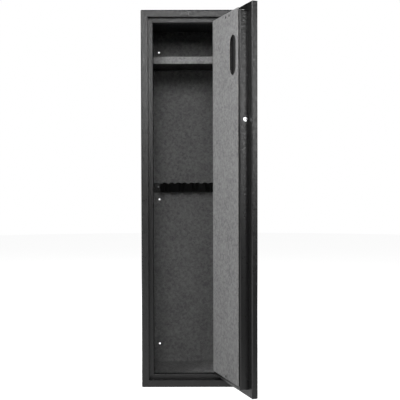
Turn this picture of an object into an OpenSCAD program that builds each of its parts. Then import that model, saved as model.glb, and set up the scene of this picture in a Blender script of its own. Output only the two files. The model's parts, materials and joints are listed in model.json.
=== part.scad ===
// Slim steel gun safe, standing with its door open.
// Origin: centre of the base. +Z is up, and the front faces -Y.
// Door parts are drawn with the door shut, in the door's own frame, and on_door() swings them open.
// In the door's frame, x runs from 0 at the hinge edge to -leaf_w, and y is the depth behind the outer face.

/* [Body] */
// Width of the body
body_w = 361; // [340:1:420]
// Height of the body
body_h = 1450; // [1300:1:1600]
// Depth of the body
body_d = 411; // [360:1:480]
// Thickness of the body's steel
body_steel = 2.5; // [2:0.5:3]
// Outside radius of the body's folded edges
edge_r = 5; // [3:0.5:6]
// Thickness of the carpet lining
carpet_t = 4; // [3:0.5:5]

/* [Door frame] */
// Width of the front lip round the doorway
lip_w = 27; // [25:1:30]
// Depth of the recess that the door leaf closes into
recess_d = 23.5; // [23:0.5:25]
// Distance from the body's outside to the clear opening
jamb_inset = 46; // [42:1:47]
// Thickness of the jamb's steel
jamb_t = 1.5; // [1:0.5:2]
// Depth of the jamb behind the front plane
jamb_d = 48; // [47:1:52]

/* [Door] */
// Angle that the door stands open
door_open = 110; // [95:1:120]
// Thickness of the folded outer leaf
leaf_t = 22.5; // [21:0.5:23]
// Thickness of the leaf's steel
leaf_steel = 2; // [1.5:0.5:2]
// Depth of the inner pan's face behind the leaf's outer face
pan_d = 57; // [55:1:58]
// Distance from the leaf's hinge edge to the inner pan
pan_hinge_edge = 20; // [18:1:22]
// Width of the inner pan
pan_w = 254; // [250:1:255]
// Distance from the leaf's top and bottom edges to the inner pan
pan_end_edge = 26.5; // [24:0.5:28]
// Distance from the pan's side edges to the liner, hinge side
liner_hinge_edge = 6; // [4:1:8]
// Width of the felted liner
liner_w = 244.8; // [240:0.1:245]
// Height of the liner's lower edge above the ground
liner_low = 71; // [66:1:76]
// Height of the liner's upper edge above the ground
liner_high = 1400; // [1390:1:1401]

/* [Lock] */
// Height of the knob and the bolt
bolt_z = 1011; // [990:1:1030]
// Radius of the side bolt
bolt_r = 8.5; // [8:0.5:8.5]
// Radius of the cam's crank
crank_r = 15.6; // [14:0.1:16]
// Distance of the keypad, knob and key lock from the hinge edge
lock_x = 222; // [218:1:224]
// Height of the keypad's middle
keypad_z = 1242; // [1235:1:1250]
// Width of the battery opening
slot_w = 55; // [50:1:56]
// Height of the battery opening
slot_h = 141; // [138:1:144]

/* [Fittings] */
// Height of the shelf's steel top
shelf_z = 1280; // [1100:1:1300]
// Height of the rack's lower edge
rack_z = 751; // [700:1:800]
// Spacing of the barrel notches
notch_pitch = 57.5; // [56:0.5:58]
// Width of a barrel notch
notch_w = 25.5; // [24:0.5:26]
// Distance of the anchor holes from the middle
anchor_x = 132; // [120:1:134]
// Radius of the anchor holes
anchor_r = 4.25; // [4:0.25:5.5]

/* [Hidden] */
$fn = 48;

big = 3000;
black_paint = [0.10, 0.10, 0.11];
felt_grey = [0.50, 0.50, 0.51];
front_y = -body_d / 2;
in_x = body_w / 2 - body_steel;
in_z = body_h - body_steel;

// Hinge: the pivot sits pivot_a in from the leaf's edge and pivot_b behind its outer face.
hinge_gap = 2;
free_gap = 2.5;
end_gap = 2.5;
pivot_a = 10;
pivot_b = 6;
leaf_w = body_w - 2 * lip_w - hinge_gap - free_gap;
leaf_z = lip_w + end_gap;
leaf_h = body_h - 2 * leaf_z;
pivot_x = body_w / 2 - lip_w - hinge_gap - pivot_a;
// The leaf's inner corner sweeps deeper beside the hinge, so the recess steps back there.
corner_sweep = sqrt(pow(pivot_a, 2) + pow(leaf_t - pivot_b, 2));
hinge_recess_d = pivot_b + corner_sweep + 2.2;
split_x = pivot_x - corner_sweep - 1.5;
pin_r = 3;
jamb_bend = 4;
running_gap = 0.05;

pan_steel = 1.5;
pan_r = 6;
leaf_r = 4;
pan_z = leaf_z + pan_end_edge;
pan_h = body_h - 2 * pan_z;
pan_edge = pan_hinge_edge + pan_w;
board_t = 3;
felt_t = 2;
liner_x = pan_hinge_edge + liner_hinge_edge;
rivet_spots = [[157, liner_high - 13], [190, liner_high - 13], [155, liner_low + 9]];
rivet_r = 2.5;

bolt_y = 34.5;
bolt_throw = 2 * crank_r * sin(45);
bolt_tip = pan_edge + 1;
carrier_end = 240;
carrier_y = 33;
carrier_t = 3;
spindle_r = 5;
post_spots = [[190, bolt_z - 11], [190, bolt_z + 23]];
key_z = bolt_z + 89;
solenoid_x = 175;

shelf_front = 75;
shelf_half = in_x - carpet_t - 1;
rack_front = 338;
first_notch = -92;
notches = 4;
notch_deep = 38;
anchor_rows = [85, 717, 1355];
back_face = body_d - body_steel - carpet_t;

module at_front() {
    translate([0, front_y, 0]) children();
}

module on_door() {
    translate([pivot_x, front_y + pivot_b, 0])
        rotate([0, 0, door_open])
            translate([pivot_a, -pivot_b, 0]) children();
}

// A rectangle from [0, 0] with true arcs at its corners.
module round_rect(w, h, r) {
    translate([r, 0]) square([w - 2 * r, h]);
    translate([0, r]) square([w, h - 2 * r]);
    for (x = [r, w - r], y = [r, h - r])
        translate([x, y]) circle(r);
}

// A box from [0, 0, 0] whose twelve edges are rounded.
module round_box(size, r) {
    intersection() {
        linear_extrude(size[2]) round_rect(size[0], size[1], r);
        translate([0, size[1], 0]) rotate([90, 0, 0])
            linear_extrude(size[1]) round_rect(size[0], size[2], r);
        rotate([90, 0, 90]) linear_extrude(size[0]) round_rect(size[1], size[2], r);
    }
}

// An upright slot outline, centred.
module obround(w, h) {
    square([w, h - w], center = true);
    for (s = [-1, 1])
        translate([0, s * (h - w) / 2]) circle(w / 2);
}

// Stands a flat outline up in the XZ plane, from y0 to y1.
module upright(y0, y1) {
    translate([0, y1, 0]) rotate([90, 0, 0]) linear_extrude(y1 - y0) children();
}

// A cylinder along Y from y0 to y1.
module rod_y(r, y0, y1) {
    translate([0, y0, 0]) rotate([-90, 0, 0]) cylinder(r = r, h = y1 - y0);
}

// A cylinder along X from x0 to x1.
module rod_x(r, x0, x1) {
    translate([x0, 0, 0]) rotate([0, 90, 0]) cylinder(r = r, h = x1 - x0);
}

// A screw or rivet head: a flat cylinder with a domed top, from y = 0 towards -Y.
module dome_head(r, h) {
    rotate([90, 0, 0]) rotate_extrude() intersection() {
        translate([0, h - (r * r + h * h) / (2 * h)]) circle((r * r + h * h) / (2 * h));
        square([r, h]);
    }
}

/* ---- Body ---- */

// A square tube along Y, as the doorway's edges are, between two outlines inset from the body's own.
module doorway_ring(outer_in, inner_in, y0, y1) {
    difference() {
        translate([-body_w / 2 + outer_in, y0, outer_in])
            cube([body_w - 2 * outer_in, y1 - y0, body_h - 2 * outer_in]);
        translate([-body_w / 2 + inner_in, y0 - 1, inner_in])
            cube([body_w - 2 * inner_in, y1 - y0 + 2, body_h - 2 * inner_in]);
    }
}

module beyond_split(side) {
    translate([side > 0 ? split_x : split_x - big, -big / 2, -1]) cube([big, big, body_h + 2]);
}

// The folded shell: walls, front lip and the lip's return, with no back.
module shell() {
    difference() {
        translate([-body_w / 2, 0, 0]) intersection() {
            round_box([body_w, body_d + 2 * edge_r, body_h], edge_r);
            cube([body_w, body_d, body_h]);
        }
        translate([-in_x, body_steel, body_steel])
            cube([2 * in_x, body_d, body_h - 2 * body_steel]);
        translate([-body_w / 2 + lip_w, -1, lip_w])
            cube([body_w - 2 * lip_w, body_steel + 2, body_h - 2 * lip_w]);
    }
    intersection() {
        doorway_ring(lip_w - body_steel, lip_w, body_steel, recess_d);
        beyond_split(-1);
    }
    intersection() {
        doorway_ring(lip_w - body_steel, lip_w, body_steel, hinge_recess_d);
        beyond_split(1);
    }
}

// The part of the front view that belongs to one side, mitred at 45 degrees at the corners.
module mitre(side) {
    w = body_w / 2;
    m = 60;
    if (side == "left" || side == "right")
        mirror([side == "right" ? 1 : 0, 0]) polygon([[-w - 1, -1], [-w + m, m], [-w + m, body_h - m],
                                                      [-w - 1, body_h + 1]]);
    if (side == "bottom" || side == "top")
        translate([0, side == "top" ? body_h : 0]) mirror([0, side == "top" ? 1 : 0])
            polygon([[-w - 1, -1], [-w + m, m], [w - m, m], [w + 1, -1]]);
}

module panel(side) {
    color(black_paint) at_front() difference() {
        intersection() {
            shell();
            upright(-1, body_d + 1) mitre(side);
        }
        hinge_holes();
    }
}

module hinge_holes() {
    translate([pivot_x, pivot_b, lip_w - body_steel - 1]) cylinder(r = pin_r + 0.4, h = body_steel + 2);
    translate([pivot_x, pivot_b, body_h - lip_w - 1]) cylinder(r = pin_r + 0.4, h = body_steel + 2);
}

module left_side_panel() panel("left");
module right_side_panel() panel("right");
module top_panel() panel("top");
module bottom_panel() panel("bottom");

module anchor_holes(y0, y1) {
    for (s = [-1, 1], z = anchor_rows)
        translate([s * anchor_x, 0, z]) rod_y(anchor_r, y0, y1);
}

module back_panel() {
    color(black_paint) at_front() difference() {
        translate([-in_x, body_d - body_steel, body_steel])
            cube([2 * in_x, body_steel, body_h - 2 * body_steel]);
        anchor_holes(body_d - body_steel - 1, body_d + 1);
    }
}

/* ---- Jambs ---- */

// The jamb's section: step flange at depth d, rolled edge, inner return and hem.
// Its x runs inwards from the body's outside, and its y is the depth.
module jamb_profile(d) {
    hem = 12;
    flange = jamb_inset - jamb_bend;
    translate([lip_w - body_steel, d]) square([flange - lip_w + body_steel, jamb_t]);
    intersection() {
        translate([flange, d + jamb_bend]) difference() {
            circle(jamb_bend);
            circle(jamb_bend - jamb_t);
        }
        translate([flange, d]) square(jamb_bend);
    }
    translate([jamb_inset - jamb_t, d + jamb_bend]) square([jamb_t, jamb_d - d - jamb_bend]);
    translate([jamb_inset - hem, jamb_d - jamb_t]) square([hem, jamb_t]);
}

// One side of the jamb, full length, mitred at both ends.
module jamb_bar(side, d) {
    intersection() {
        if (side == "left" || side == "right")
            mirror([side == "right" ? 1 : 0, 0, 0]) translate([-body_w / 2, 0, 0])
                linear_extrude(body_h) jamb_profile(d);
        else
            translate([0, 0, side == "top" ? body_h : 0]) mirror([0, 0, side == "top" ? 1 : 0])
                translate([body_w / 2, 0, 0]) rotate([0, -90, 0])
                    linear_extrude(body_w) jamb_profile(d);
        upright(-1, body_d) mitre(side);
    }
}

module jamb(side) {
    color(black_paint) at_front() difference() {
        if (side == "right") {
            jamb_bar("right", hinge_recess_d);
            intersection() {
                union() {
                    jamb_bar("top", hinge_recess_d);
                    jamb_bar("bottom", hinge_recess_d);
                }
                beyond_split(1);
            }
        } else
            intersection() {
                jamb_bar(side, recess_d);
                beyond_split(-1);
            }
        if (side == "left") {
            translate([0, bolt_y, bolt_z]) rod_x(bolt_r + 0.75, -body_w / 2, 0);
            rivet_holes();
        }
    }
}

module rivet_holes() {
    for (s = [-1, 1])
        translate([0, bolt_y, bolt_z + s * 30]) rod_x(2, -body_w / 2, 0);
}

module left_jamb() jamb("left");
module right_jamb() jamb("right");
module top_jamb() jamb("top");
module bottom_jamb() jamb("bottom");

// A plate behind the jamb's return, clear of its bend. The bolt's hole is open at the plate's front.
module strike_plate() {
    strike_t = 3;
    y0 = recess_d + jamb_bend + 0.3;
    color("silver") at_front() difference() {
        translate([-body_w / 2 + jamb_inset - jamb_t - strike_t, y0, bolt_z - 42])
            cube([strike_t, jamb_d - jamb_t - 0.5 - y0, 84]);
        translate([0, bolt_y, bolt_z]) rod_x(bolt_r + 0.75, -body_w / 2, 0);
        rivet_holes();
    }
}

module strike_rivets() {
    x0 = -body_w / 2 + jamb_inset;
    color("silver") at_front() for (s = [-1, 1])
        translate([0, bolt_y, bolt_z + s * 30]) {
            rod_x(2, x0 - jamb_t - 3, x0);
            translate([x0, 0, 0]) rotate([0, 0, 90]) dome_head(4, 1.2);
        }
}

/* ---- Linings ---- */

module back_carpet() {
    color(felt_grey) at_front() difference() {
        translate([-in_x, back_face, body_steel]) cube([2 * in_x, carpet_t, body_h - 2 * body_steel]);
        anchor_holes(back_face - 1, body_d);
        for (s = [-1, 1])
            translate([s * rack_screw_x, 0, rack_screw_z]) rod_y(2, back_face - 1, body_d);
    }
}

module side_carpet(s) {
    y0 = jamb_d + 1;
    color(felt_grey) at_front() mirror([s > 0 ? 1 : 0, 0, 0]) difference() {
        translate([-in_x, y0, body_steel + carpet_t])
            cube([carpet_t, back_face - y0, body_h - 2 * body_steel - 2 * carpet_t]);
        for (y = bracket_screws)
            translate([0, y, bracket_z - 8]) rod_x(2, -in_x - 1, 0);
    }
}

module level_carpet(z) {
    y0 = jamb_d + 1;
    color(felt_grey) at_front() translate([-in_x, y0, z]) cube([2 * in_x, back_face - y0, carpet_t]);
}

module left_carpet() side_carpet(-1);
module right_carpet() side_carpet(1);
module ceiling_carpet() level_carpet(in_z - carpet_t);
module floor_carpet() level_carpet(body_steel);

/* ---- Shelf ---- */

shelf_steel = 1.5;
shelf_felt_t = 3;
shelf_back = back_face - 1;
bracket_z = shelf_z - 14;
bracket_screws = [140, 350];

module shelf_tray() {
    flange = 14;
    color(black_paint) at_front() difference() {
        translate([-shelf_half, shelf_front, bracket_z])
            cube([2 * shelf_half, shelf_back - shelf_front, flange]);
        translate([-shelf_half + shelf_steel, shelf_front + shelf_steel, bracket_z - 1])
            cube([2 * (shelf_half - shelf_steel), big, flange + 1 - shelf_steel]);
    }
    color(black_paint) at_front() {
        translate([-shelf_half, shelf_front, shelf_z - 24]) cube([2 * shelf_half, shelf_steel, 24]);
        translate([-shelf_half + shelf_steel, shelf_back - shelf_steel, shelf_z - 6])
            cube([2 * (shelf_half - shelf_steel), shelf_steel, 5]);
    }
}

module shelf_felt() {
    color(felt_grey) at_front() {
        translate([-shelf_half, shelf_front - shelf_felt_t, shelf_z])
            cube([2 * shelf_half, shelf_back - shelf_front + shelf_felt_t, shelf_felt_t]);
        translate([-shelf_half, shelf_front - shelf_felt_t, shelf_z - 25])
            cube([2 * shelf_half, shelf_felt_t, 25]);
    }
}

module shelf_bracket(s) {
    bracket_t = 1.5;
    x0 = -in_x + carpet_t;
    color(black_paint) at_front() mirror([s > 0 ? 1 : 0, 0, 0]) difference() {
        union() {
            translate([x0, 110, bracket_z - bracket_t]) cube([22, 275, bracket_t]);
            translate([x0, 110, bracket_z - 16]) cube([bracket_t, 275, 16]);
        }
        for (y = bracket_screws)
            translate([0, y, bracket_z - 8]) rod_x(2, -in_x, 0);
    }
}

module left_shelf_bracket() shelf_bracket(-1);
module right_shelf_bracket() shelf_bracket(1);

module shelf_screws() {
    x0 = -in_x + carpet_t + 1.5;
    color("silver") at_front() for (s = [0, 1], y = bracket_screws)
        mirror([s, 0, 0]) translate([0, y, bracket_z - 8]) {
            rod_x(2, -in_x, x0);
            translate([x0, 0, 0]) rotate([0, 0, 90]) dome_head(4, 2);
        }
}

/* ---- Barrel rack ---- */

rack_screw_x = 136;
rack_screw_z = rack_z + 20;
rack_h = 35;
rail_t = 1.5;

module rack_rail() {
    color(black_paint) at_front() difference() {
        translate([-in_x + carpet_t + 1, back_face - rail_t, rack_z - 4])
            cube([2 * (in_x - carpet_t - 1), rail_t, 40]);
        for (s = [-1, 1])
            translate([s * rack_screw_x, 0, rack_screw_z]) rod_y(2, 0, body_d);
    }
}

// The foam comb, with a raised finger on each side of every notch.
module rack_foam() {
    finger_w = 11;
    finger_h = 4;
    x0 = first_notch - notch_pitch / 2 - 4;
    color([0.03, 0.03, 0.03]) at_front() difference() {
        union() {
            translate([x0, rack_front, rack_z])
                cube([notches * notch_pitch + 8, back_face - rail_t - rack_front, rack_h]);
            for (i = [0 : notches - 1], s = [-1, 1])
                translate([first_notch + i * notch_pitch + s * (notch_w + finger_w) / 2, 0, 0])
                    finger(finger_w, finger_h);
        }
        for (i = [0 : notches - 1])
            translate([first_notch + i * notch_pitch, rack_front, rack_z - 1])
                linear_extrude(rack_h + finger_h + 2) {
                    translate([-notch_w / 2, -1]) square([notch_w, notch_deep - notch_w / 2 + 1]);
                    translate([0, notch_deep - notch_w / 2]) circle(notch_w / 2);
                }
    }
}

// A ridge that runs back from the foam's front.
module finger(w, h) {
    translate([-w / 2, rack_front, rack_z + rack_h - 1]) cube([w, notch_deep, h + 1]);
}

module rack_screws() {
    color("silver") at_front() for (s = [-1, 1])
        translate([s * rack_screw_x, 0, rack_screw_z]) {
            rod_y(2, back_face - rail_t, body_d - body_steel);
            translate([0, back_face - rail_t, 0]) dome_head(4, 2);
        }
}

/* ---- Hinge parts on the frame ---- */

module hinge_bush(z) {
    color("silver") at_front() difference() {
        translate([pivot_x - 12, body_steel, z]) cube([24, 18, 10]);
        translate([pivot_x, pivot_b, z - 1]) cylinder(r = pin_r + running_gap, h = 12);
    }
}

module upper_hinge_bush() hinge_bush(body_h - lip_w + body_steel);
module lower_hinge_bush() hinge_bush(lip_w - body_steel - 10);

module hinge_washer() {
    color("gold") at_front() translate([pivot_x, pivot_b, lip_w]) difference() {
        cylinder(r = 5.5, h = end_gap - 0.1);
        translate([0, 0, -1]) cylinder(r = pin_r + running_gap, h = end_gap + 2);
    }
}

/* ---- Door leaf, pan and liner ---- */

module slot_cut(y0, y1) {
    translate([-lock_x, 0, keypad_z]) upright(y0, y1) obround(slot_w, slot_h);
}

module door_leaf() {
    back_lap = 10;
    color(black_paint) on_door() difference() {
        translate([-leaf_w, 0, leaf_z]) round_box([leaf_w, leaf_t, leaf_h], leaf_r);
        translate([-leaf_w + leaf_steel, leaf_steel, leaf_z + leaf_steel])
            cube([leaf_w - 2 * leaf_steel, leaf_t - 2 * leaf_steel, leaf_h - 2 * leaf_steel]);
        translate([-pan_edge + back_lap, leaf_steel, pan_z + back_lap])
            cube([pan_w - 2 * back_lap, leaf_t, pan_h - 2 * back_lap]);
        translate([-pivot_a, pivot_b, 0]) cylinder(r = pin_r, h = body_h);
        translate([-lock_x, 0, bolt_z]) rod_y(9.2, -1, leaf_steel + 1);
        translate([-lock_x, 0, key_z]) rod_y(9.7, -1, leaf_steel + 1);
        translate([-lock_x, 0, keypad_z]) rod_y(8, -1, leaf_steel + 1);
    }
}

module door_pan() {
    front = 10;
    color(black_paint) on_door() difference() {
        intersection() {
            translate([-pan_edge, leaf_t - front, pan_z])
                round_box([pan_w, pan_d - leaf_t + front, pan_h], pan_r);
            translate([-big, leaf_t, 0]) cube([2 * big, big, body_h]);
        }
        translate([-pan_edge + pan_steel, 0, pan_z + pan_steel])
            round_box([pan_w - 2 * pan_steel, pan_d - pan_steel, pan_h - 2 * pan_steel],
                      pan_r - pan_steel);
        slot_cut(pan_d - 5, pan_d + 1);
        liner_rivet_holes();
        translate([0, bolt_y, bolt_z]) rod_x(bolt_r + 0.5, -pan_edge - 1, -pan_edge + 5);
    }
}

module liner_rivet_holes() {
    for (p = rivet_spots)
        translate([-p[0], 0, p[1]]) rod_y(rivet_r, pan_d - 5, pan_d + 10);
}

module liner_sheet(y0, t) {
    difference() {
        translate([-liner_x - liner_w, 0, liner_low]) upright(y0, y0 + t)
            round_rect(liner_w, liner_high - liner_low, 4);
        slot_cut(y0 - 1, y0 + t + 1);
        liner_rivet_holes();
    }
}

module liner_board() {
    color([0.2, 0.2, 0.2]) on_door() liner_sheet(pan_d, board_t);
}

module liner_felt() {
    color(felt_grey) on_door() liner_sheet(pan_d + board_t, felt_t);
}

// Push rivets: a head on the felt, and a shank through the liner and the pan.
module liner_rivets() {
    y1 = pan_d + board_t + felt_t;
    color([0.1, 0.1, 0.1]) on_door() for (p = rivet_spots)
        translate([-p[0], 0, p[1]]) {
            rod_y(rivet_r, pan_d - 3, y1);
            translate([0, y1, 0]) rotate([0, 0, 180]) dome_head(5, 1.5);
        }
}

module door_stiffener() {
    x0 = -130;
    w = 40;
    d = leaf_t - leaf_steel - 2;
    t = 1.5;
    wing = 12;
    color(black_paint) on_door() translate([x0, leaf_steel, 90]) linear_extrude(1270) {
        translate([-wing, 0]) square([wing + t, t]);
        translate([w - t, 0]) square([wing + t, t]);
        square([t, d]);
        translate([w - t, 0]) square([t, d]);
        translate([0, d - t]) square([w, t]);
    }
}

/* ---- Hinge parts on the door ---- */

module hinge_block(z) {
    color("silver") on_door() difference() {
        translate([-30, leaf_steel, z]) cube([30 - leaf_steel, leaf_t - 2 * leaf_steel, 26]);
        translate([-pivot_a, pivot_b, z - 1]) cylinder(r = pin_r, h = 28);
    }
}

module hinge_pin(z) {
    color("silver") on_door() translate([-pivot_a, pivot_b, z]) cylinder(r = pin_r, h = 42);
}

module upper_hinge_block() hinge_block(leaf_z + leaf_h - leaf_steel - 26);
module lower_hinge_block() hinge_block(leaf_z + leaf_steel);
module upper_hinge_pin() hinge_pin(body_h - lip_w + body_steel + 9 - 42);
module lower_hinge_pin() hinge_pin(lip_w - body_steel - 9);

/* ---- Lock ---- */

module lock_plate() {
    color("silver") on_door() difference() {
        translate([-262, leaf_steel, bolt_z - 66]) cube([112, 2, 180]);
        translate([-lock_x, 0, bolt_z]) rod_y(9.2, 0, 10);
        translate([-lock_x, 0, key_z]) rod_y(9.7, 0, 10);
    }
}

// Shouldered posts that the bolt carrier slides on.
module carrier_posts() {
    y0 = leaf_steel + 2;
    color("silver") on_door() for (p = post_spots)
        translate([-p[0], 0, p[1]]) {
            rod_y(4.5, y0, carrier_y - 0.4);
            rod_y(3, carrier_y - 0.5, carrier_y + carrier_t + 0.5);
            rod_y(5, carrier_y + carrier_t + 0.4, carrier_y + carrier_t + 2.4);
        }
}

module bolt_guide() {
    color("silver") on_door() difference() {
        translate([-pan_edge + pan_steel, bolt_y - 10.5, bolt_z - 14]) cube([10, 21, 28]);
        translate([0, bolt_y, bolt_z]) rod_x(bolt_r + running_gap, -pan_edge, -pan_edge + 20);
    }
}

// A turned bolt with a chamfered tip and a dimple at its centre.
module side_bolt() {
    l = bolt_tip - carrier_end;
    color("silver") on_door() translate([-carrier_end, bolt_y, bolt_z]) rotate([0, -90, 0])
        rotate_extrude() polygon([[0, 0], [bolt_r, 0], [bolt_r, l - 1.5], [bolt_r - 1.5, l],
                                  [3, l], [0, l - 1.5]]);
}

module bolt_carrier() {
    x_in = 158;
    low = bolt_z - 18;
    high = bolt_z + 30;
    play = 0.9;
    color("silver") on_door() difference() {
        union() {
            translate([-carrier_end, carrier_y, low]) cube([carrier_end - x_in, carrier_t, high - low]);
            translate([-carrier_end, bolt_y - 7, bolt_z - 10]) cube([3, 14, 20]);
        }
        // The crank pin's upright slot.
        translate([-lock_x + crank_r * sin(45), carrier_y - 1, bolt_z + crank_r * (1 + cos(45)) / 2])
            rotate([-90, 0, 0]) linear_extrude(carrier_t + 2)
                obround(6 + 2 * play, 6 + 2 * play + crank_r * (1 - cos(45)));
        // The posts' level slots.
        for (p = post_spots)
            translate([-p[0] + bolt_throw / 2, carrier_y - 1, p[1]])
                rotate([-90, 0, 0]) linear_extrude(carrier_t + 2)
                    rotate(90) obround(7.2, 7.2 + bolt_throw);
        // The notch that the plunger rises into while the bolt is drawn back.
        translate([-solenoid_x - 4.5, carrier_y - 1, low - 1]) cube([9, carrier_t + 2, 9]);
    }
}

// The disc turns in front of the bolt, and its crank pin reaches back into the carrier.
module cam_disc() {
    disc_y = 20;
    disc_t = 4;
    color("silver") on_door() translate([-lock_x, 0, bolt_z]) {
        difference() {
            rod_y(22, disc_y, disc_y + disc_t);
            rod_y(spindle_r, disc_y - 1, disc_y + disc_t + 1);
        }
        rotate([0, 45, 0]) translate([0, 0, crank_r]) rod_y(3, disc_y + 1, carrier_y + carrier_t + 1);
    }
}

module spindle() {
    color("silver") on_door() translate([-lock_x, 0, bolt_z]) rod_y(spindle_r, -19, 26);
}

module knob_bush() {
    color("silver") on_door() translate([-lock_x, 0, bolt_z]) difference() {
        union() {
            rod_y(28, -5, 0);
            rod_y(9, -1, 12);
        }
        rod_y(spindle_r + running_gap, -6, 13);
    }
}

// A round knob with two finger flats and a raised grip.
module knob() {
    color([0.15, 0.15, 0.15]) on_door() translate([-lock_x, 0, bolt_z]) difference() {
        union() {
            rod_y(21, -12, -5.6);
            intersection() {
                rod_y(21, -25, -11);
                translate([-7, -25, -21]) cube([14, 14, 42]);
            }
        }
        rod_y(spindle_r, -19, 0);
        for (a = [0 : 30 : 330])
            rotate([0, a, 0]) translate([0, 0, 22.5]) rod_y(3, -13, -4);
    }
}

// The solenoid stands below the carrier, and its plunger rises into the carrier's notch.
module solenoid() {
    h = 38;
    z0 = bolt_z - 64;
    color([0.2, 0.2, 0.25]) on_door() difference() {
        union() {
            translate([-solenoid_x - 14, 22, z0]) cube([28, 25, h]);
            for (z = [z0 + 4, z0 + 31])
                translate([-solenoid_x - 14, leaf_steel + 2, z]) cube([28, 18, 3]);
        }
        translate([-solenoid_x, bolt_y, z0 + 6]) cylinder(r = pin_r + running_gap, h = h);
    }
}

module solenoid_plunger() {
    color("silver") on_door() translate([-solenoid_x, bolt_y, bolt_z - 49.5]) cylinder(r = pin_r, h = 30);
}

module key_lock_body() {
    color("silver") on_door() translate([-lock_x, 0, key_z]) difference() {
        union() {
            rod_y(13, -4, 0);
            rod_y(9.5, -1, 26);
        }
        rod_y(6.05, -5, 27);
    }
}

module key_plug() {
    color("gold") on_door() translate([-lock_x, 0, key_z]) {
        difference() {
            rod_y(6, -4.5, 27);
            translate([-1, -5, -4]) cube([2, 20, 8]);
        }
        translate([-5, 26.5, -5]) cube([10, 2.5, 28]);
    }
}

/* ---- Keypad and battery box ---- */

pad_w = 60;
pad_h = 155;
pad_d = 16;
button_w = 36;
button_h = 17;
button_pitch = 26;
buttons = 5;

module button_spot(i) {
    translate([-lock_x, 0, keypad_z + ((buttons - 1) / 2 - i) * button_pitch]) children();
}

module keypad_housing() {
    color([0.06, 0.06, 0.06]) on_door() difference() {
        translate([-lock_x, 0, keypad_z]) difference() {
            translate([-pad_w / 2, 0, -pad_h / 2]) upright(-pad_d, 0) round_rect(pad_w, pad_h, 14);
            translate([-pad_w / 2 + 2.5, 0, -pad_h / 2 + 2.5]) upright(-pad_d + 3, 1)
                round_rect(pad_w - 5, pad_h - 5, 11.5);
        }
        for (i = [0 : buttons - 1])
            button_spot(i) translate([-button_w / 2 - 0.4, 0, -button_h / 2 - 0.4])
                upright(-pad_d - 1, -pad_d + 4) round_rect(button_w + 0.8, button_h + 0.8, 5.4);
    }
}

module keypad_board() {
    color([0.1, 0.35, 0.15]) on_door() translate([-lock_x - 27, 0, keypad_z - 73])
        upright(-7, -5.4) round_rect(54, 146, 11);
}

module keypad_button(i) {
    color([0.75, 0.75, 0.75]) on_door() button_spot(i) {
        translate([-button_w / 2, 0, -button_h / 2]) upright(-pad_d - 2.5, -pad_d + 2)
            round_rect(button_w, button_h, 5);
        upright(-pad_d + 1.9, -8.8) translate([-8, -5]) square([16, 10]);
    }
}

module keypad_button_1() keypad_button(0);
module keypad_button_2() keypad_button(1);
module keypad_button_3() keypad_button(2);
module keypad_button_4() keypad_button(3);
module keypad_button_5() keypad_button(4);

tray_wall = 2;
tray_in_w = slot_w - 2;
tray_in_h = slot_h - 2;
tray_front = 24;

module battery_tray() {
    y1 = pan_d - pan_steel;
    color([0.06, 0.06, 0.06]) on_door() translate([-lock_x, 0, keypad_z]) difference() {
        union() {
            upright(tray_front, y1) obround(tray_in_w + 2 * tray_wall, tray_in_h + 2 * tray_wall);
            upright(y1 - 2, y1) obround(slot_w + 12, slot_h + 12);
        }
        upright(tray_front + tray_wall, y1 + 1) obround(tray_in_w, tray_in_h);
    }
}

// Four AA cells, two side by side in each row.
module batteries() {
    cell_r = 7.2;
    cell_l = 50;
    color([0.6, 0.6, 0.2]) on_door() for (i = [-1, 1], j = [-1, 1])
        translate([-lock_x + i * 8, tray_front + tray_wall + cell_r + 0.3, keypad_z + j * 27])
            translate([0, 0, -cell_l / 2 - 0.6]) {
                cylinder(r = cell_r, h = cell_l);
                cylinder(r = 2.7, h = cell_l + 1.2);
            }
}

// The lid's cross-section: a low rim that rises in two slopes to a flat crown.
module lid_profile(w, flat_x, low, high) {
    polygon([[-w / 2, low], [w / 2, low], [w / 2, low + 3], [flat_x, high], [-flat_x, high],
             [-w / 2, low + 3]]);
}

// A hollow lid, sunk below the felt.
module battery_lid() {
    w = tray_in_w - 1;
    h = tray_in_h - 1;
    low = tray_front + 18;
    high = pan_d - 1;
    wall = 2.5;
    color([0.08, 0.08, 0.08]) on_door() translate([-lock_x, 0, keypad_z]) difference() {
        intersection() {
            upright(low, high) obround(w, h);
            translate([0, 0, -h / 2]) linear_extrude(h) lid_profile(w, 8, low, high);
        }
        intersection() {
            upright(low - 1, high) obround(w - 2 * wall, h - 2 * wall);
            translate([0, 0, -h / 2]) linear_extrude(h) lid_profile(w, 8, low - wall, high - wall);
        }
    }
}

left_side_panel();
right_side_panel();
top_panel();
bottom_panel();
back_panel();
left_jamb();
right_jamb();
top_jamb();
bottom_jamb();
strike_plate();
strike_rivets();
back_carpet();
left_carpet();
right_carpet();
ceiling_carpet();
floor_carpet();
shelf_tray();
shelf_felt();
left_shelf_bracket();
right_shelf_bracket();
shelf_screws();
rack_rail();
rack_foam();
rack_screws();
upper_hinge_bush();
lower_hinge_bush();
hinge_washer();
door_leaf();
door_pan();
door_stiffener();
liner_board();
liner_felt();
liner_rivets();
upper_hinge_pin();
lower_hinge_pin();
upper_hinge_block();
lower_hinge_block();
lock_plate();
carrier_posts();
bolt_guide();
keypad_housing();
keypad_board();
battery_tray();
batteries();
knob_bush();
solenoid();
key_lock_body();
knob();
spindle();
cam_disc();
side_bolt();
bolt_carrier();
solenoid_plunger();
key_plug();
battery_lid();
keypad_button_1();
keypad_button_2();
keypad_button_3();
keypad_button_4();
keypad_button_5();
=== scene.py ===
"""The looks of a slim steel gun safe with its door open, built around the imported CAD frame.

The steel, locks and hinges are the CAD nodes with procedural materials. The linings, the shelf's cover
and the rack's foam are detailed pieces that stand for their plain CAD solids. Lengths are in metres.
"""

import json
import math

import bmesh
import bpy
import numpy as np
from mathutils import Matrix, Vector, noise
from mathutils.geometry import delaunay_2d_cdt
from mathutils.kdtree import KDTree


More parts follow.
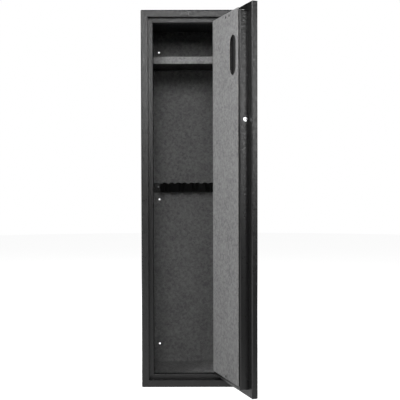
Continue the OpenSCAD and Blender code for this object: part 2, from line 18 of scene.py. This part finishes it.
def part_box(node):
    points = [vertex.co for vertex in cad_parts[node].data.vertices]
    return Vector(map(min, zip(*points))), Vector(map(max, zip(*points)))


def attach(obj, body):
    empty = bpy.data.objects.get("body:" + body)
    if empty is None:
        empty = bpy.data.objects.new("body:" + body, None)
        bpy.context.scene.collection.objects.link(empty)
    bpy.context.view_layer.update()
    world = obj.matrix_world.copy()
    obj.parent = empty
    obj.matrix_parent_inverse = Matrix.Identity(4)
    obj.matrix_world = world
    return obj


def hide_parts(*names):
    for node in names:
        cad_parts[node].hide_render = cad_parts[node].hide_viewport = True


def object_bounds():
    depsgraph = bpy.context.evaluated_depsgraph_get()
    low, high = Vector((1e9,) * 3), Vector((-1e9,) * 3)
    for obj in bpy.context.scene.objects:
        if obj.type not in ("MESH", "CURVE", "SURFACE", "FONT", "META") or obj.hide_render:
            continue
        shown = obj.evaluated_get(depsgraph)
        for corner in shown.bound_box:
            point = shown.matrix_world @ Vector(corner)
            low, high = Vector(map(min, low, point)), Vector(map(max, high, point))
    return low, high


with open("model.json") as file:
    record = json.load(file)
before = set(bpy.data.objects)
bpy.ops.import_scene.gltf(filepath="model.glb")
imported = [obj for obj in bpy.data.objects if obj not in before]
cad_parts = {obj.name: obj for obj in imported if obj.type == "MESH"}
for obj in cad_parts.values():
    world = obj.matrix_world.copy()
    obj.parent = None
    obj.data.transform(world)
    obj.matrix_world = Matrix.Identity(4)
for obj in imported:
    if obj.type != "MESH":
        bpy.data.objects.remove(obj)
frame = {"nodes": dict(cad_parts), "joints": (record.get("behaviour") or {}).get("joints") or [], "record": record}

CAD_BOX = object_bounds()
MM = 0.001
JOINTS = {joint["name"]: joint for joint in frame["joints"]}

# ---- Places that the CAD design fixes -------------------------------------------------------------

ANCHOR_X = 132 * MM
ANCHOR_ROWS = (85 * MM, 717 * MM, 1355 * MM)
ANCHOR_R = 4.25 * MM
RACK_SCREW = (136 * MM, 771 * MM)
SCREW_R = 2 * MM
NOTCHES = 4
NOTCH_FIRST = -92 * MM
NOTCH_PITCH = 57.5 * MM
NOTCH_W = 25.5 * MM
NOTCH_DEEP = 38 * MM
FINGER_W = 11 * MM
FINGER_H = 4 * MM
SLOT_W = 55 * MM
SLOT_H = 141 * MM
RIVET_R = 2.5 * MM
RIVET_HEAD = 5 * MM
UPPER_RIVET_IN = 2 * MM

# Sizes of the relief in the soft pieces.
FELT_WAVE = 45 * MM
FELT_LUMP = 11 * MM
FOAM_LUMP = 12 * MM
PULL_DEPTH = 0.5 * MM
PULL_R = 9 * MM


# ---- Node materials -------------------------------------------------------------------------------


class Shader:
    """A node material with one Principled surface, and short calls for the nodes that feed it."""

    def __init__(self, name, **constants):
        self.material = bpy.data.materials.new(name)
        self.material.use_nodes = True
        self.tree = self.material.node_tree
        self.surface = self.tree.nodes["Principled BSDF"]
        for socket, value in constants.items():
            self.surface.inputs[socket.replace("_", " ")].default_value = value
        self.place = self.add("TexCoord").outputs["Object"]

    def add(self, kind, inputs=None, **settings):
        node = self.tree.nodes.new("ShaderNode" + kind)
        for key, value in settings.items():
            setattr(node, key, value)
        for socket, value in (inputs or {}).items():
            self.feed(node.inputs[socket], value)
        return node

    def feed(self, socket, value):
        if isinstance(value, bpy.types.NodeSocket):
            self.tree.links.new(value, socket)
        else:
            socket.default_value = value

    def noise(self, size, detail=2.0, distortion=0.0, stretch=None):
        """Soft noise whose blobs measure about size, from 0 to 1."""
        place = self.place
        if stretch:
            place = self.add("VectorMath", {0: place, 1: stretch}, operation="MULTIPLY").outputs[0]
        inputs = {"Vector": place, "Scale": 1 / size, "Detail": detail, "Distortion": distortion}
        return self.add("TexNoise", inputs).outputs["Fac"]

    def cells(self, size, smooth=0.0, out="Distance", **settings):
        """Cells that measure about size."""
        inputs = {"Vector": self.place, "Scale": 1 / size}
        node = self.add("TexVoronoi", inputs, **settings)
        if smooth:
            node.feature = "SMOOTH_F1"
            node.inputs["Smoothness"].default_value = smooth
        return node.outputs[out]

    def math(self, operation, a, b=0.0, c=0.0):
        return self.add("Math", {0: a, 1: b, 2: c}, operation=operation).outputs[0]

    def between(self, value, low, high, to_low=0.0, to_high=1.0):
        """Value from low to high, mapped to the range to_low to to_high and held there."""
        inputs = {"Value": value, "From Min": low, "From Max": high, "To Min": to_low, "To Max": to_high}
        return self.add("MapRange", inputs, clamp=True).outputs["Result"]

    def mix(self, share, a, b):
        """Colour a at share 0, and b at share 1."""
        inputs = {"Factor": share, "A": a, "B": b}
        node = self.add("Mix", data_type="RGBA")
        for key, value in inputs.items():
            kind = "VALUE" if key == "Factor" else "RGBA"
            socket = next(s for s in node.inputs if s.name == key and s.type == kind)
            self.feed(socket, value)
        return next(s for s in node.outputs if s.type == "RGBA")

    def rounded(self, radius):
        """The normal with its sharp edges rounded, and how near an edge each point is, from 0 to 1."""
        soft = self.add("Bevel", {"Radius": radius}, samples=4).outputs[0]
        flat = self.add("NewGeometry").outputs["Normal"]
        along = self.add("VectorMath", {0: soft, 1: flat}, operation="DOT_PRODUCT").outputs["Value"]
        return soft, self.between(along, 0.995, 0.8)

    def bump(self, height, distance, strength=1.0, normal=None):
        inputs = {"Height": height, "Distance": distance, "Strength": strength}
        if normal:
            inputs["Normal"] = normal
        return self.add("Bump", inputs).outputs[0]

    def finish(self, **links):
        for socket, value in links.items():
            self.feed(self.surface.inputs[socket.replace("_", " ")], value)
        return self.material


def grey(level, blue=1.0):
    return (level, level, level * blue, 1.0)


def powder_coat():
    """Black hammered powder coat: dimples, some glossier than others, and a painted highlight that makes its edges
    pale in patches.
    """
    s = Shader("powder_coat", Specular_IOR_Level=0.7)
    soft, edge = s.rounded(1.2 * MM)
    dimples = s.cells(8 * MM, smooth=0.6)
    grain = s.noise(1.1 * MM, detail=3)
    drift = s.noise(60 * MM, detail=3)
    # Painted highlight: this noise and the edge mask lighten the edges towards pale grey, in patches.
    edge_highlight_patches = s.between(s.noise(5 * MM, detail=4), 0.42, 0.62)
    height = s.math("MULTIPLY_ADD", grain, 0.2, dimples)
    colour = s.mix(s.between(drift, 0.3, 0.7), grey(0.006, 1.03), grey(0.011, 1.03))
    colour = s.mix(s.math("MULTIPLY", s.math("MULTIPLY", edge, edge_highlight_patches), 0.7), colour, grey(0.10, 1.02))
    gloss = s.math("MULTIPLY_ADD", dimples, 0.5, s.math("MULTIPLY", s.noise(14 * MM, detail=4), 0.5))
    rough = s.between(gloss, 0.2, 0.6, 0.24, 0.40)
    return s.finish(Base_Color=colour, Roughness=rough, Normal=s.bump(height, 0.7 * MM, 0.7, soft))


def felt(name, light, dark):
    """Needled felt: fibres, the clumps that the needles leave, slow drifts of colour, and a dull sheen."""
    s = Shader(name, Specular_IOR_Level=0.15, Sheen_Weight=0.08, Sheen_Roughness=0.6)
    fibre = s.noise(1.3 * MM, detail=4, distortion=1.5)
    clump = s.noise(11 * MM, detail=3, distortion=0.8)
    drift = s.noise(60 * MM, detail=3)
    layers = ((fibre, 0.3), (clump, 0.55), (drift, 0.15))
    parts = [s.math("MULTIPLY", s.between(layer, 0.35, 0.65), weight) for layer, weight in layers]
    share = s.math("ADD", s.math("ADD", parts[0], parts[1]), parts[2])
    height = s.math("MULTIPLY_ADD", clump, 0.8, fibre)
    return s.finish(Base_Color=s.mix(share, dark, light), Roughness=0.95,
                    Normal=s.bump(height, 0.6 * MM, 0.8))


def foam():
    s = Shader("closed_cell_foam", Specular_IOR_Level=0.25)
    cells = s.cells(0.7 * MM)
    colour = s.mix(s.noise(12 * MM), grey(0.004), grey(0.008))
    rough = s.between(s.noise(3 * MM), 0.3, 0.7, 0.8, 0.95)
    return s.finish(Base_Color=colour, Roughness=rough, Normal=s.bump(cells, 0.25 * MM, 0.6))


def plated(name, low, high, rough_low, rough_high, grain, stretch=None):
    """Bare or plated metal, with grain blobs stretched along one direction where it is brushed or turned."""
    s = Shader(name, Metallic=1.0)
    soft, edge = s.rounded(0.4 * MM)
    blotch = s.noise(9 * MM, detail=3)
    lines = s.noise(grain, detail=2, stretch=stretch)
    colour = s.mix(s.between(blotch, 0.3, 0.7), low, high)
    # Painted highlight: the edges are lightened towards the high colour.
    colour = s.mix(s.math("MULTIPLY", edge, 0.4), colour, high)
    both = s.math("MULTIPLY_ADD", lines, 0.5, s.math("MULTIPLY", blotch, 0.5))
    rough = s.between(both, 0.3, 0.7, rough_low, rough_high)
    return s.finish(Base_Color=colour, Roughness=rough, Normal=s.bump(lines, 0.03 * MM, 0.5, soft))


def moulded(name, low, high, rough, grain=0.6 * MM):
    """Moulded plastic with a fine spark-eroded texture."""
    s = Shader(name, Specular_IOR_Level=0.5)
    soft, edge = s.rounded(0.5 * MM)
    spark = s.noise(grain, detail=3)
    colour = s.mix(s.noise(20 * MM), low, high)
    # Painted highlight: the edges are lightened towards twice the high colour.
    colour = s.mix(s.math("MULTIPLY", edge, 0.3), colour, tuple(min(1, 2 * c) for c in high[:3]) + (1,))
    roughness = s.between(s.noise(6 * MM, detail=3), 0.3, 0.7, rough - 0.05, rough + 0.05)
    return s.finish(Base_Color=colour, Roughness=roughness, Normal=s.bump(spark, 0.06 * MM, 0.5, soft))


def fibreboard():
    s = Shader("fibreboard", Specular_IOR_Level=0.1)
    colour = s.mix(s.noise(1.5 * MM, detail=4), (0.004, 0.0036, 0.003, 1), (0.009, 0.008, 0.007, 1))
    height = s.noise(0.5 * MM, detail=2)
    return s.finish(Base_Color=colour, Roughness=0.8, Normal=s.bump(height, 0.1 * MM, 0.5))


def circuit_board():
    """Green solder mask over wide copper areas, with a lighter edge."""
    s = Shader("circuit_board", Coat_Weight=0.3)
    soft, edge = s.rounded(0.3 * MM)
    tracks = s.cells(4 * MM)
    colour = s.mix(s.between(tracks, 0.25, 0.3), (0.01, 0.075, 0.03, 1), (0.014, 0.12, 0.05, 1))
    colour = s.mix(edge, colour, (0.12, 0.14, 0.06, 1))
    return s.finish(Base_Color=colour, Roughness=0.35, Normal=soft)


def cell_sleeve():
    s = Shader("cell_sleeve", Specular_IOR_Level=0.5)
    colour = s.mix(s.between(s.noise(25 * MM), 0.45, 0.5), (0.02, 0.02, 0.022, 1), (0.42, 0.3, 0.07, 1))
    return s.finish(Base_Color=colour, Roughness=s.between(s.noise(5 * MM), 0, 1, 0.2, 0.35))


MATERIALS = {
    "black_paint": powder_coat(),
    "grey_felt": felt("needled_felt", grey(0.46), grey(0.20, 1.01)),
    # A darker copy of the grey felt, used on the ceiling alone.
    "ceiling_darker_felt": felt("ceiling_felt", grey(0.10), grey(0.04, 1.01)),
    "zinc_steel": plated("zinc_plate", (0.42, 0.43, 0.46, 1), (0.62, 0.62, 0.63, 1), 0.28, 0.45, 1.5 * MM),
    "bright_steel": plated("turned_steel", (0.5, 0.5, 0.52, 1), (0.66, 0.66, 0.68, 1), 0.18, 0.3, 0.5 * MM,
                           (0.1, 0.1, 1)),
    "chrome": plated("chrome_plate", (0.72, 0.73, 0.75, 1), (0.86, 0.86, 0.88, 1), 0.08, 0.16, 0.6 * MM),
    "brass": plated("brass", (0.5, 0.34, 0.12, 1), (0.75, 0.56, 0.26, 1), 0.22, 0.35, 0.8 * MM),
    "black_foam": foam(),
    "fibreboard": fibreboard(),
    "black_plastic": moulded("black_plastic", grey(0.016), grey(0.024), 0.45),
    "button_plastic": moulded("button_plastic", grey(0.26), grey(0.32), 0.35, 0.4 * MM),
    "circuit_board": circuit_board(),
    "battery_wrap": cell_sleeve(),
}


def dress_cad_nodes():
    """Gives each CAD node the material of its slot in the record."""
    slots = {part["node"]: part["material_slot"] for part in frame["record"]["subparts"]}
    for name, node in frame["nodes"].items():
        node.data.materials.clear()
        node.data.materials.append(MATERIALS[slots[name]])


# ---- Flat outlines --------------------------------------------------------------------------------


def arc(centre, radius, start, end, count):
    """Points of an arc, its two ends included. Angles are in degrees."""
    angles = [math.radians(start + (end - start) * i / count) for i in range(count + 1)]
    return [(centre[0] + radius * math.cos(a), centre[1] + radius * math.sin(a)) for a in angles]


def spaced(points, step):
    """The closed outline with points added, so that none of its sides is longer than step."""
    dense = []
    for (x0, y0), (x1, y1) in zip(points, points[1:] + points[:1]):
        count = max(1, math.ceil(math.hypot(x1 - x0, y1 - y0) / step))
        dense += [(x0 + (x1 - x0) * i / count, y0 + (y1 - y0) * i / count) for i in range(count)]
    return dense


def rectangle(x0, y0, x1, y1, radius, step):
    corners = [((x1 - radius, y0 + radius), -90), ((x1 - radius, y1 - radius), 0),
               ((x0 + radius, y1 - radius), 90), ((x0 + radius, y0 + radius), 180)]
    return spaced([p for centre, a in corners for p in arc(centre, radius, a, a + 90, 4)], step)


def hole(x, y, radius, count=16):
    return arc((x, y), radius, 360, 0, count)[:-1]


def upright_slot(x, y, width, height, step):
    r, reach = width / 2, (height - width) / 2
    return spaced(arc((x, y + reach), r, 180, 0, 12) + arc((x, y - reach), r, 0, -180, 12), step)


def shifted(outline, distance):
    """The closed outline moved to its left. Outer outlines run anticlockwise and holes clockwise, so
    that is into the material."""
    p = np.array(outline)
    ahead = np.roll(p, -1, axis=0) - p
    ahead /= np.linalg.norm(ahead, axis=1)[:, None]
    left = np.stack([-ahead[:, 1], ahead[:, 0]], axis=1)
    before = np.roll(left, 1, axis=0)
    across = (left + before) / (1 + (left * before).sum(axis=1))[:, None]
    return p + distance * across


def is_inside(points, outline):
    p, q = np.array(outline), np.roll(np.array(outline), -1, axis=0)
    x, y = points[:, 0][:, None], points[:, 1][:, None]
    crosses = (p[:, 1] > y) != (q[:, 1] > y)
    rise = np.where(q[:, 1] == p[:, 1], 1.0, q[:, 1] - p[:, 1])
    at = p[:, 0] + (y - p[:, 1]) / rise * (q[:, 0] - p[:, 0])
    return (crosses & (x < at)).sum(axis=1) % 2 == 1


def lattice(outlines, step, clear, rows):
    """Points on a triangular lattice in the material, clear of the outlines and of the given rows."""
    outer = np.array(outlines[0])
    low, high = outer.min(axis=0), outer.max(axis=0)
    near = KDTree(sum(len(o) for o in outlines))
    for i, (x, y) in enumerate(p for o in outlines for p in o):
        near.insert((x, y, 0), i)
    near.balance()
    found = []
    rise = step * math.sqrt(3) / 2
    for j in range(int((high[1] - low[1]) / rise) + 1):
        y = low[1] + j * rise
        if rows and min(abs(y - row) for row in rows) < 0.5 * rise:
            continue
        found += [(low[0] + (i + 0.5 * (j % 2)) * step, y)
                  for i in range(int((high[0] - low[0]) / step) + 1)]
    for row in rows:
        found += [(low[0] + i * step, row) for i in range(int((high[0] - low[0]) / step) + 1)]
    found = np.array([p for p in found if near.find((p[0], p[1], 0))[2] > clear])
    return found[in_material(found, outlines)]


def in_material(points, outlines):
    keep = is_inside(points, outlines[0])
    for cut in outlines[1:]:
        keep &= ~is_inside(points, cut)
    return keep


def triangles(points, loops, outlines):
    """Triangles between the points that lie in the material. Loops are runs of points kept as edges."""
    edges = [(a + i, a + (i + 1) % n) for a, n in loops for i in range(n)]
    flat = [Vector((float(x), float(y))) for x, y in points]
    out, _, faces, origin, _, _ = delaunay_2d_cdt(flat, edges, [], 0, 1e-7)
    faces = [[origin[i][0] for i in f] for f in faces if all(origin[i] for i in f)]
    middles = np.array([np.mean([points[i] for i in f], axis=0) for f in faces])
    return [f for f, keep in zip(faces, in_material(middles, outlines)) if keep]


# ---- Soft pieces ----------------------------------------------------------------------------------


def soft_piece(name, outlines, thickness, edge, place, step, relief, rows=()):
    """A closed sheet or block: flat underneath, its upper edges rounded by edge, and with relief on top.

    place(a, b, height) gives the point in the row frame, and relief(a, b, share) the added height,
    where share goes from 0 at the edge to 1 inside the rounding."""
    rings = [math.radians(t) for t in (0, 30, 60, 90)]
    points, heights, shares, loops = [], [], [], []
    for outline in outlines:
        for t in rings:
            loops.append((len(points), len(outline)))
            points += [tuple(p) for p in shifted(outline, edge * (1 - math.cos(t)))]
            heights += [thickness - edge + edge * math.sin(t)] * len(outline)
            shares += [math.sin(t)] * len(outline)
    inner = [[tuple(p) for p in shifted(outline, edge)] for outline in outlines]
    inside = [tuple(p) for p in lattice(inner, step, 0.55 * step, rows)]
    points += inside
    heights += [thickness] * len(inside)
    shares += [1.0] * len(inside)

    bm = bmesh.new()
    top = [bm.verts.new(place(a, b, h + relief(a, b, s))) for (a, b), h, s in zip(points, heights, shares)]
    for face in triangles(points, loops, outlines):
        bm.faces.new([top[i] for i in face])
    rims = loops[:: len(rings)]
    rim = [i for first, count in rims for i in range(first, first + count)]
    base = {i: bm.verts.new(place(*points[i], 0.0)) for i in rim}
    starts = np.cumsum([0] + [count for _, count in rims])[:-1]
    base_loops = [(int(a), count) for a, (_, count) in zip(starts, rims)]
    for face in triangles([points[i] for i in rim], base_loops, outlines):
        bm.faces.new([base[rim[i]] for i in face])
    for first, count in rims:
        for i in range(count):
            a, b = first + i, first + (i + 1) % count
            bm.faces.new([top[a], top[b], base[b], base[a]])
    bmesh.ops.recalc_face_normals(bm, faces=bm.faces)
    mesh = bpy.data.meshes.new(name)
    bm.to_mesh(mesh)
    bm.free()
    mesh.polygons.foreach_set("use_smooth", [True] * len(mesh.polygons))
    mesh.set_sharp_from_angle(angle=math.radians(50))
    piece = bpy.data.objects.new(name, mesh)
    bpy.context.scene.collection.objects.link(piece)
    return piece


def nap(seed, coarse=0.28 * MM, fine=0.12 * MM, dimples=()):
    """Relief of glued felt: slow waves, small lumps, and a dimple round each fastener."""

    def relief(a, b, share):
        waves = noise.noise(Vector((a / FELT_WAVE, b / FELT_WAVE, seed)))
        lumps = noise.noise(Vector((a / FELT_LUMP, b / FELT_LUMP, seed + 7.3)))
        sunk = sum(PULL_DEPTH * math.exp(-((a - x) ** 2 + (b - y) ** 2) / PULL_R**2) for x, y in dimples)
        return share * (coarse * (waves - 0.5) + fine * lumps - sunk)

    return relief


def lining(node, axis, towards, seed, holes=()):
    """A felt sheet that stands for a flat CAD carpet: axis is the one it is thin along, and towards is
    the side, -1 or 1, that its open face is on."""
    low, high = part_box(node)
    a, b = [i for i in range(3) if i != axis]
    back = low[axis] if towards > 0 else high[axis]

    def place(u, v, height):
        point = Vector((0, 0, 0))
        point[a], point[b], point[axis] = u, v, back + towards * height
        return point

    step = 10 * MM
    outlines = [rectangle(low[a], low[b], high[a], high[b], 1.5 * MM, step)]
    outlines += [hole(x, y, r) for x, y, r in holes]
    thickness = high[axis] - low[axis]
    piece = soft_piece(node + "_sheet", outlines, thickness, 1.2 * MM, place, step, nap(seed))
    return soften(piece, node, "cabinet")


def soften(piece, node, body):
    piece.data.materials.append(MATERIALS["grey_felt"])
    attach(piece, body)
    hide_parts(node)
    return piece


def cabinet_linings():
    anchors = [(side * ANCHOR_X, z, ANCHOR_R) for side in (-1, 1) for z in ANCHOR_ROWS]
    screws = [(side * RACK_SCREW[0], RACK_SCREW[1], SCREW_R) for side in (-1, 1)]
    lining("back_carpet", 1, -1, 1.7, anchors + screws)
    lining("left_carpet", 0, 1, 12.1)
    lining("right_carpet", 0, -1, 23.9)
    ceiling = lining("ceiling_carpet", 2, -1, 34.3)
    # The ceiling takes the darker copy of the grey felt, so it shows darker than the same felt on the other walls.
    ceiling.data.materials[0] = MATERIALS["ceiling_darker_felt"]
    lining("floor_carpet", 2, 1, 45.7)


def shelf_cover():
    """The shelf's felt: one strip that climbs the front lip, turns over its edge and runs back."""
    low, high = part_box("shelf_felt")
    tray_low, tray_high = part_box("shelf_tray")
    thickness = high.z - tray_high.z
    turn_r = 0.6 * MM
    mean_r = turn_r + thickness / 2
    climb = tray_high.z - turn_r - low.z
    bend = mean_r * math.pi / 2
    run = high.y - tray_low.y - turn_r

    def place(u, v, height):
        if v < climb:
            return Vector((u, tray_low.y - height, low.z + v))
        if v < climb + bend:
            t = (v - climb) / mean_r
            reach = turn_r + height
            return Vector((u, tray_low.y + turn_r - reach * math.cos(t),
                           tray_high.z - turn_r + reach * math.sin(t)))
        return Vector((u, tray_low.y + turn_r + v - climb - bend, tray_high.z + height))

    step = 9 * MM
    length = climb + bend + run
    outlines = [rectangle(low.x, 0, high.x, length, 1 * MM, step)]
    rows = [climb + bend * i / 6 for i in range(7)]
    piece = soft_piece("shelf_felt_cover", outlines, thickness, 1 * MM, place, step,
                       nap(56.2, 0.2 * MM, 0.1 * MM), rows)
    return soften(piece, "shelf_felt", "cabinet")


# ---- The door's own frame -------------------------------------------------------------------------


def door_frame():
    """The door's frame at rest: x towards the hinge edge, y from the outer face inwards, z up, and its
    origin on the hinge's axis at floor level."""
    outwards = Vector(JOINTS["knob_turn"]["axis"])
    pivot = Vector(JOINTS["door_hinge"]["pos_m"])
    x, y, z = Vector((-outwards.y, outwards.x, 0)), -outwards, Vector((0, 0, 1))
    made = Matrix((x, y, z)).transposed().to_4x4()
    made.translation = Vector((pivot.x, pivot.y, 0))
    return made


DOOR = door_frame()


def door_box(node):
    """Lowest and highest corner of a CAD node in the door's own frame."""
    back = DOOR.inverted()
    points = np.array([back @ v.co for v in frame["nodes"][node].data.vertices])
    return Vector(points.min(axis=0)), Vector(points.max(axis=0))


def door_liner():
    """The felt on the door's liner, with the battery opening and the rivets that pull it in."""
    low, high = door_box("liner_felt")
    tray_low, tray_high = door_box("battery_tray")
    rivet_low, rivet_high = door_box("liner_rivets")
    head = RIVET_HEAD
    rivets = [(rivet_high.x - head, rivet_low.z + head), (rivet_low.x + head, rivet_high.z - head),
              (rivet_high.x - head - UPPER_RIVET_IN, rivet_high.z - head)]

    def place(u, v, height):
        return DOOR @ Vector((u, low.y + height, v))

    step = 10 * MM
    middle = (tray_low + tray_high) / 2
    outlines = [rectangle(low.x, low.z, high.x, high.z, 4 * MM, step),
                upright_slot(middle.x, middle.z, SLOT_W, SLOT_H, 6 * MM)]
    outlines += [hole(x, z, RIVET_R) for x, z in rivets]
    piece = soft_piece("liner_felt_sheet", outlines, high.y - low.y, 0.8 * MM, place, step,
                       nap(67.9, 0.3 * MM, 0.12 * MM, rivets))
    return soften(piece, "liner_felt", "door")


# ---- Barrel rack ----------------------------------------------------------------------------------


def rack_comb():
    """The foam comb: notches with round ends, and a low finger along each side of every notch."""
    low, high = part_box("rack_foam")
    middles = [NOTCH_FIRST + i * NOTCH_PITCH for i in range(NOTCHES)]
    bottom_r = NOTCH_W / 2
    comb = [(low.x, high.y), (low.x, low.y)]
    for x in middles:
        comb.append((x - bottom_r, low.y))
        comb += arc((x, low.y + NOTCH_DEEP - bottom_r), bottom_r, 180, 0, 10)
        comb.append((x + bottom_r, low.y))
    comb += [(high.x, low.y), (high.x, high.y)]
    outline = spaced(comb, 4 * MM)

    def place(u, v, height):
        return Vector((u, v, low.z + height))

    def ramp(value, width):
        t = min(1.0, max(0.0, value / width))
        return t * t * (3 - 2 * t)

    def relief(u, v, share):
        from_notch = min(abs(u - x) for x in middles) - bottom_r
        across = ramp(FINGER_W - from_notch, 4 * MM)
        along = ramp(low.y + NOTCH_DEEP + 3 * MM - v, 6 * MM)
        lumps = noise.noise(Vector((u / FOAM_LUMP, v / FOAM_LUMP, 78.4)))
        return FINGER_H * across * along * (0.9 + 0.1 * share) + 0.25 * MM * (lumps - 0.6) * share

    thickness = high.z - low.z - FINGER_H
    piece = soft_piece("rack_foam_comb", [outline], thickness, 1.6 * MM, place, 3 * MM, relief)
    piece.data.materials.append(MATERIALS["black_foam"])
    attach(piece, "cabinet")
    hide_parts("rack_foam")
    return piece


# ---- Floor, light and camera ----------------------------------------------------------------------

CAMERA_SEAT = (0.045, -3.1506, 0.78875)
CAMERA_LENS = 69.1
CAMERA_DOWN = math.radians(1.282)
CAMERA_ROLL = math.radians(-0.127)
FLOOR_R = 9.0
AIM = Vector((0, -0.2, 0.75))
LIGHTS = {
    # name: (azimuth and elevation that it shines from, distance, width, height, watts)
    "key": (-44, 37, 2.5, 1.0, 0.7, 30),
    "front": (0, 19, 3.0, 1.0, 0.7, 20),
    "right": (43, 12, 3.0, 0.8, 1.0, 13),
    "left_strip": (-66, 14, 3.0, 0.35, 1.4, 7),
    "left_side": (-95, 25, 3.0, 0.8, 1.4, 6),
    "right_side": (105, 20, 3.0, 1.0, 1.4, 12),
    "back_right": (140, 22, 3.0, 1.6, 1.6, 24),
    "back_high": (180, 55, 3.0, 1.4, 1.0, 30),
}
# The sky's brightness for lighting, by the height of the direction: 0 at the horizon, 1 overhead.
SKY = ((0.0, 0.0), (0.06, 0.1), (0.14, 0.0), (1.0, 0.0))
FLOOR_GLOW = 0.95
# How brightly the floor shows in reflections: near the safe, far from it, and what its left adds.
NEAR_SAFE, FAR_OFF = 0.8, 4.0
GLOSS_NEAR, GLOSS_FAR, GLOSS_LEFT = 0.55, 0.02, 1.1


def floor():
    """A pale disc that glows to the camera, shows a pool of light in reflections, and bounces little."""
    mesh = bpy.data.meshes.new("floor")
    bm = bmesh.new()
    bmesh.ops.create_circle(bm, cap_ends=True, segments=96, radius=FLOOR_R)
    bm.to_mesh(mesh)
    bm.free()
    disc = bpy.data.objects.new("floor", mesh)
    bpy.context.scene.collection.objects.link(disc)
    disc.location.z = CAD_BOX[0].z - 0.2 * MM
    s = Shader("pale_floor", Specular_IOR_Level=0.2)
    s.surface.inputs["Emission Color"].default_value = (1, 1, 1, 1)
    rays = s.add("LightPath").outputs
    seen = rays["Is Camera Ray"]
    across = s.add("SeparateXYZ", {0: s.place}).outputs["X"]
    away = s.add("VectorMath", {0: s.place}, operation="LENGTH").outputs["Value"]
    pool = s.between(away, NEAR_SAFE, FAR_OFF, GLOSS_NEAR, GLOSS_FAR)
    gloss = s.math("MULTIPLY_ADD", pool, s.between(across, 0.2, 0.8, 1.0, 0.0),
                   s.between(across, -0.9, -0.3, GLOSS_LEFT, 0.0))
    glow = s.math("MULTIPLY_ADD", rays["Is Glossy Ray"], gloss, s.math("MULTIPLY", seen, FLOOR_GLOW))
    pale = s.mix(s.noise(0.4, detail=3), grey(0.86), grey(0.9))
    mesh.materials.append(s.finish(Base_Color=s.mix(seen, grey(0.3), pale), Roughness=0.7,
                                   Emission_Strength=glow))


def studio_light():
    """Soft boxes round the safe. Azimuth 0 shines from the front, and -90 from the left."""
    for name, (azimuth, elevation, distance, width, height, watts) in LIGHTS.items():
        data = bpy.data.lights.new(name, "AREA")
        data.shape = "RECTANGLE"
        data.size, data.size_y, data.energy = width, height, watts
        lamp = bpy.data.objects.new(name, data)
        a, e = math.radians(azimuth), math.radians(elevation)
        away = Vector((math.sin(a) * math.cos(e), -math.cos(a) * math.cos(e), math.sin(e)))
        lamp.location = AIM + distance * away
        lamp.rotation_euler = (-away).to_track_quat("-Z", "Y").to_euler()
        bpy.context.scene.collection.objects.link(lamp)
        lamp.visible_camera = False


def studio_sky():
    """White to look at, and nearly dark as a light, as SKY says."""
    world = bpy.data.worlds.new("studio")
    bpy.context.scene.world = world
    world.use_nodes = True
    nodes, links = world.node_tree.nodes, world.node_tree.links
    nodes.clear()
    up = nodes.new("ShaderNodeSeparateXYZ")
    links.new(nodes.new("ShaderNodeTexCoord").outputs["Generated"], up.inputs[0])
    level = nodes.new("ShaderNodeFloatCurve")
    level.mapping.extend = "HORIZONTAL"
    points = level.mapping.curves[0].points
    points[0].location, points[1].location = SKY[0], SKY[-1]
    for point in SKY[1:-1]:
        points.new(*point)
    for point in points:
        point.handle_type = "VECTOR"
    level.mapping.update()
    links.new(up.outputs["Z"], level.inputs["Value"])
    lighting = nodes.new("ShaderNodeBackground")
    links.new(level.outputs["Value"], lighting.inputs["Strength"])
    seen = nodes.new("ShaderNodeBackground")
    choose = nodes.new("ShaderNodeMixShader")
    links.new(nodes.new("ShaderNodeLightPath").outputs["Is Camera Ray"], choose.inputs[0])
    links.new(lighting.outputs[0], choose.inputs[1])
    links.new(seen.outputs[0], choose.inputs[2])
    links.new(choose.outputs[0], nodes.new("ShaderNodeOutputWorld").inputs["Surface"])
    for shade in (lighting, seen):
        shade.inputs["Color"].default_value = (1, 1, 1, 1)


def camera():
    """A long lens at two thirds of the safe's height, a little towards the hinge side."""
    data = bpy.data.cameras.new("camera")
    data.sensor_width = 36
    data.lens = CAMERA_LENS
    seat = bpy.data.objects.new("camera", data)
    seat.location = CAMERA_SEAT
    seat.rotation_euler = (Matrix.Rotation(math.radians(90) - CAMERA_DOWN, 3, "X")
                           @ Matrix.Rotation(CAMERA_ROLL, 3, "Z")).to_euler()
    bpy.context.scene.collection.objects.link(seat)
    bpy.context.scene.camera = seat


bpy.context.scene.view_settings.view_transform = "Standard"
camera()
floor()
studio_light()
studio_sky()
dress_cad_nodes()
cabinet_linings()
shelf_cover()
door_liner()
rack_comb()
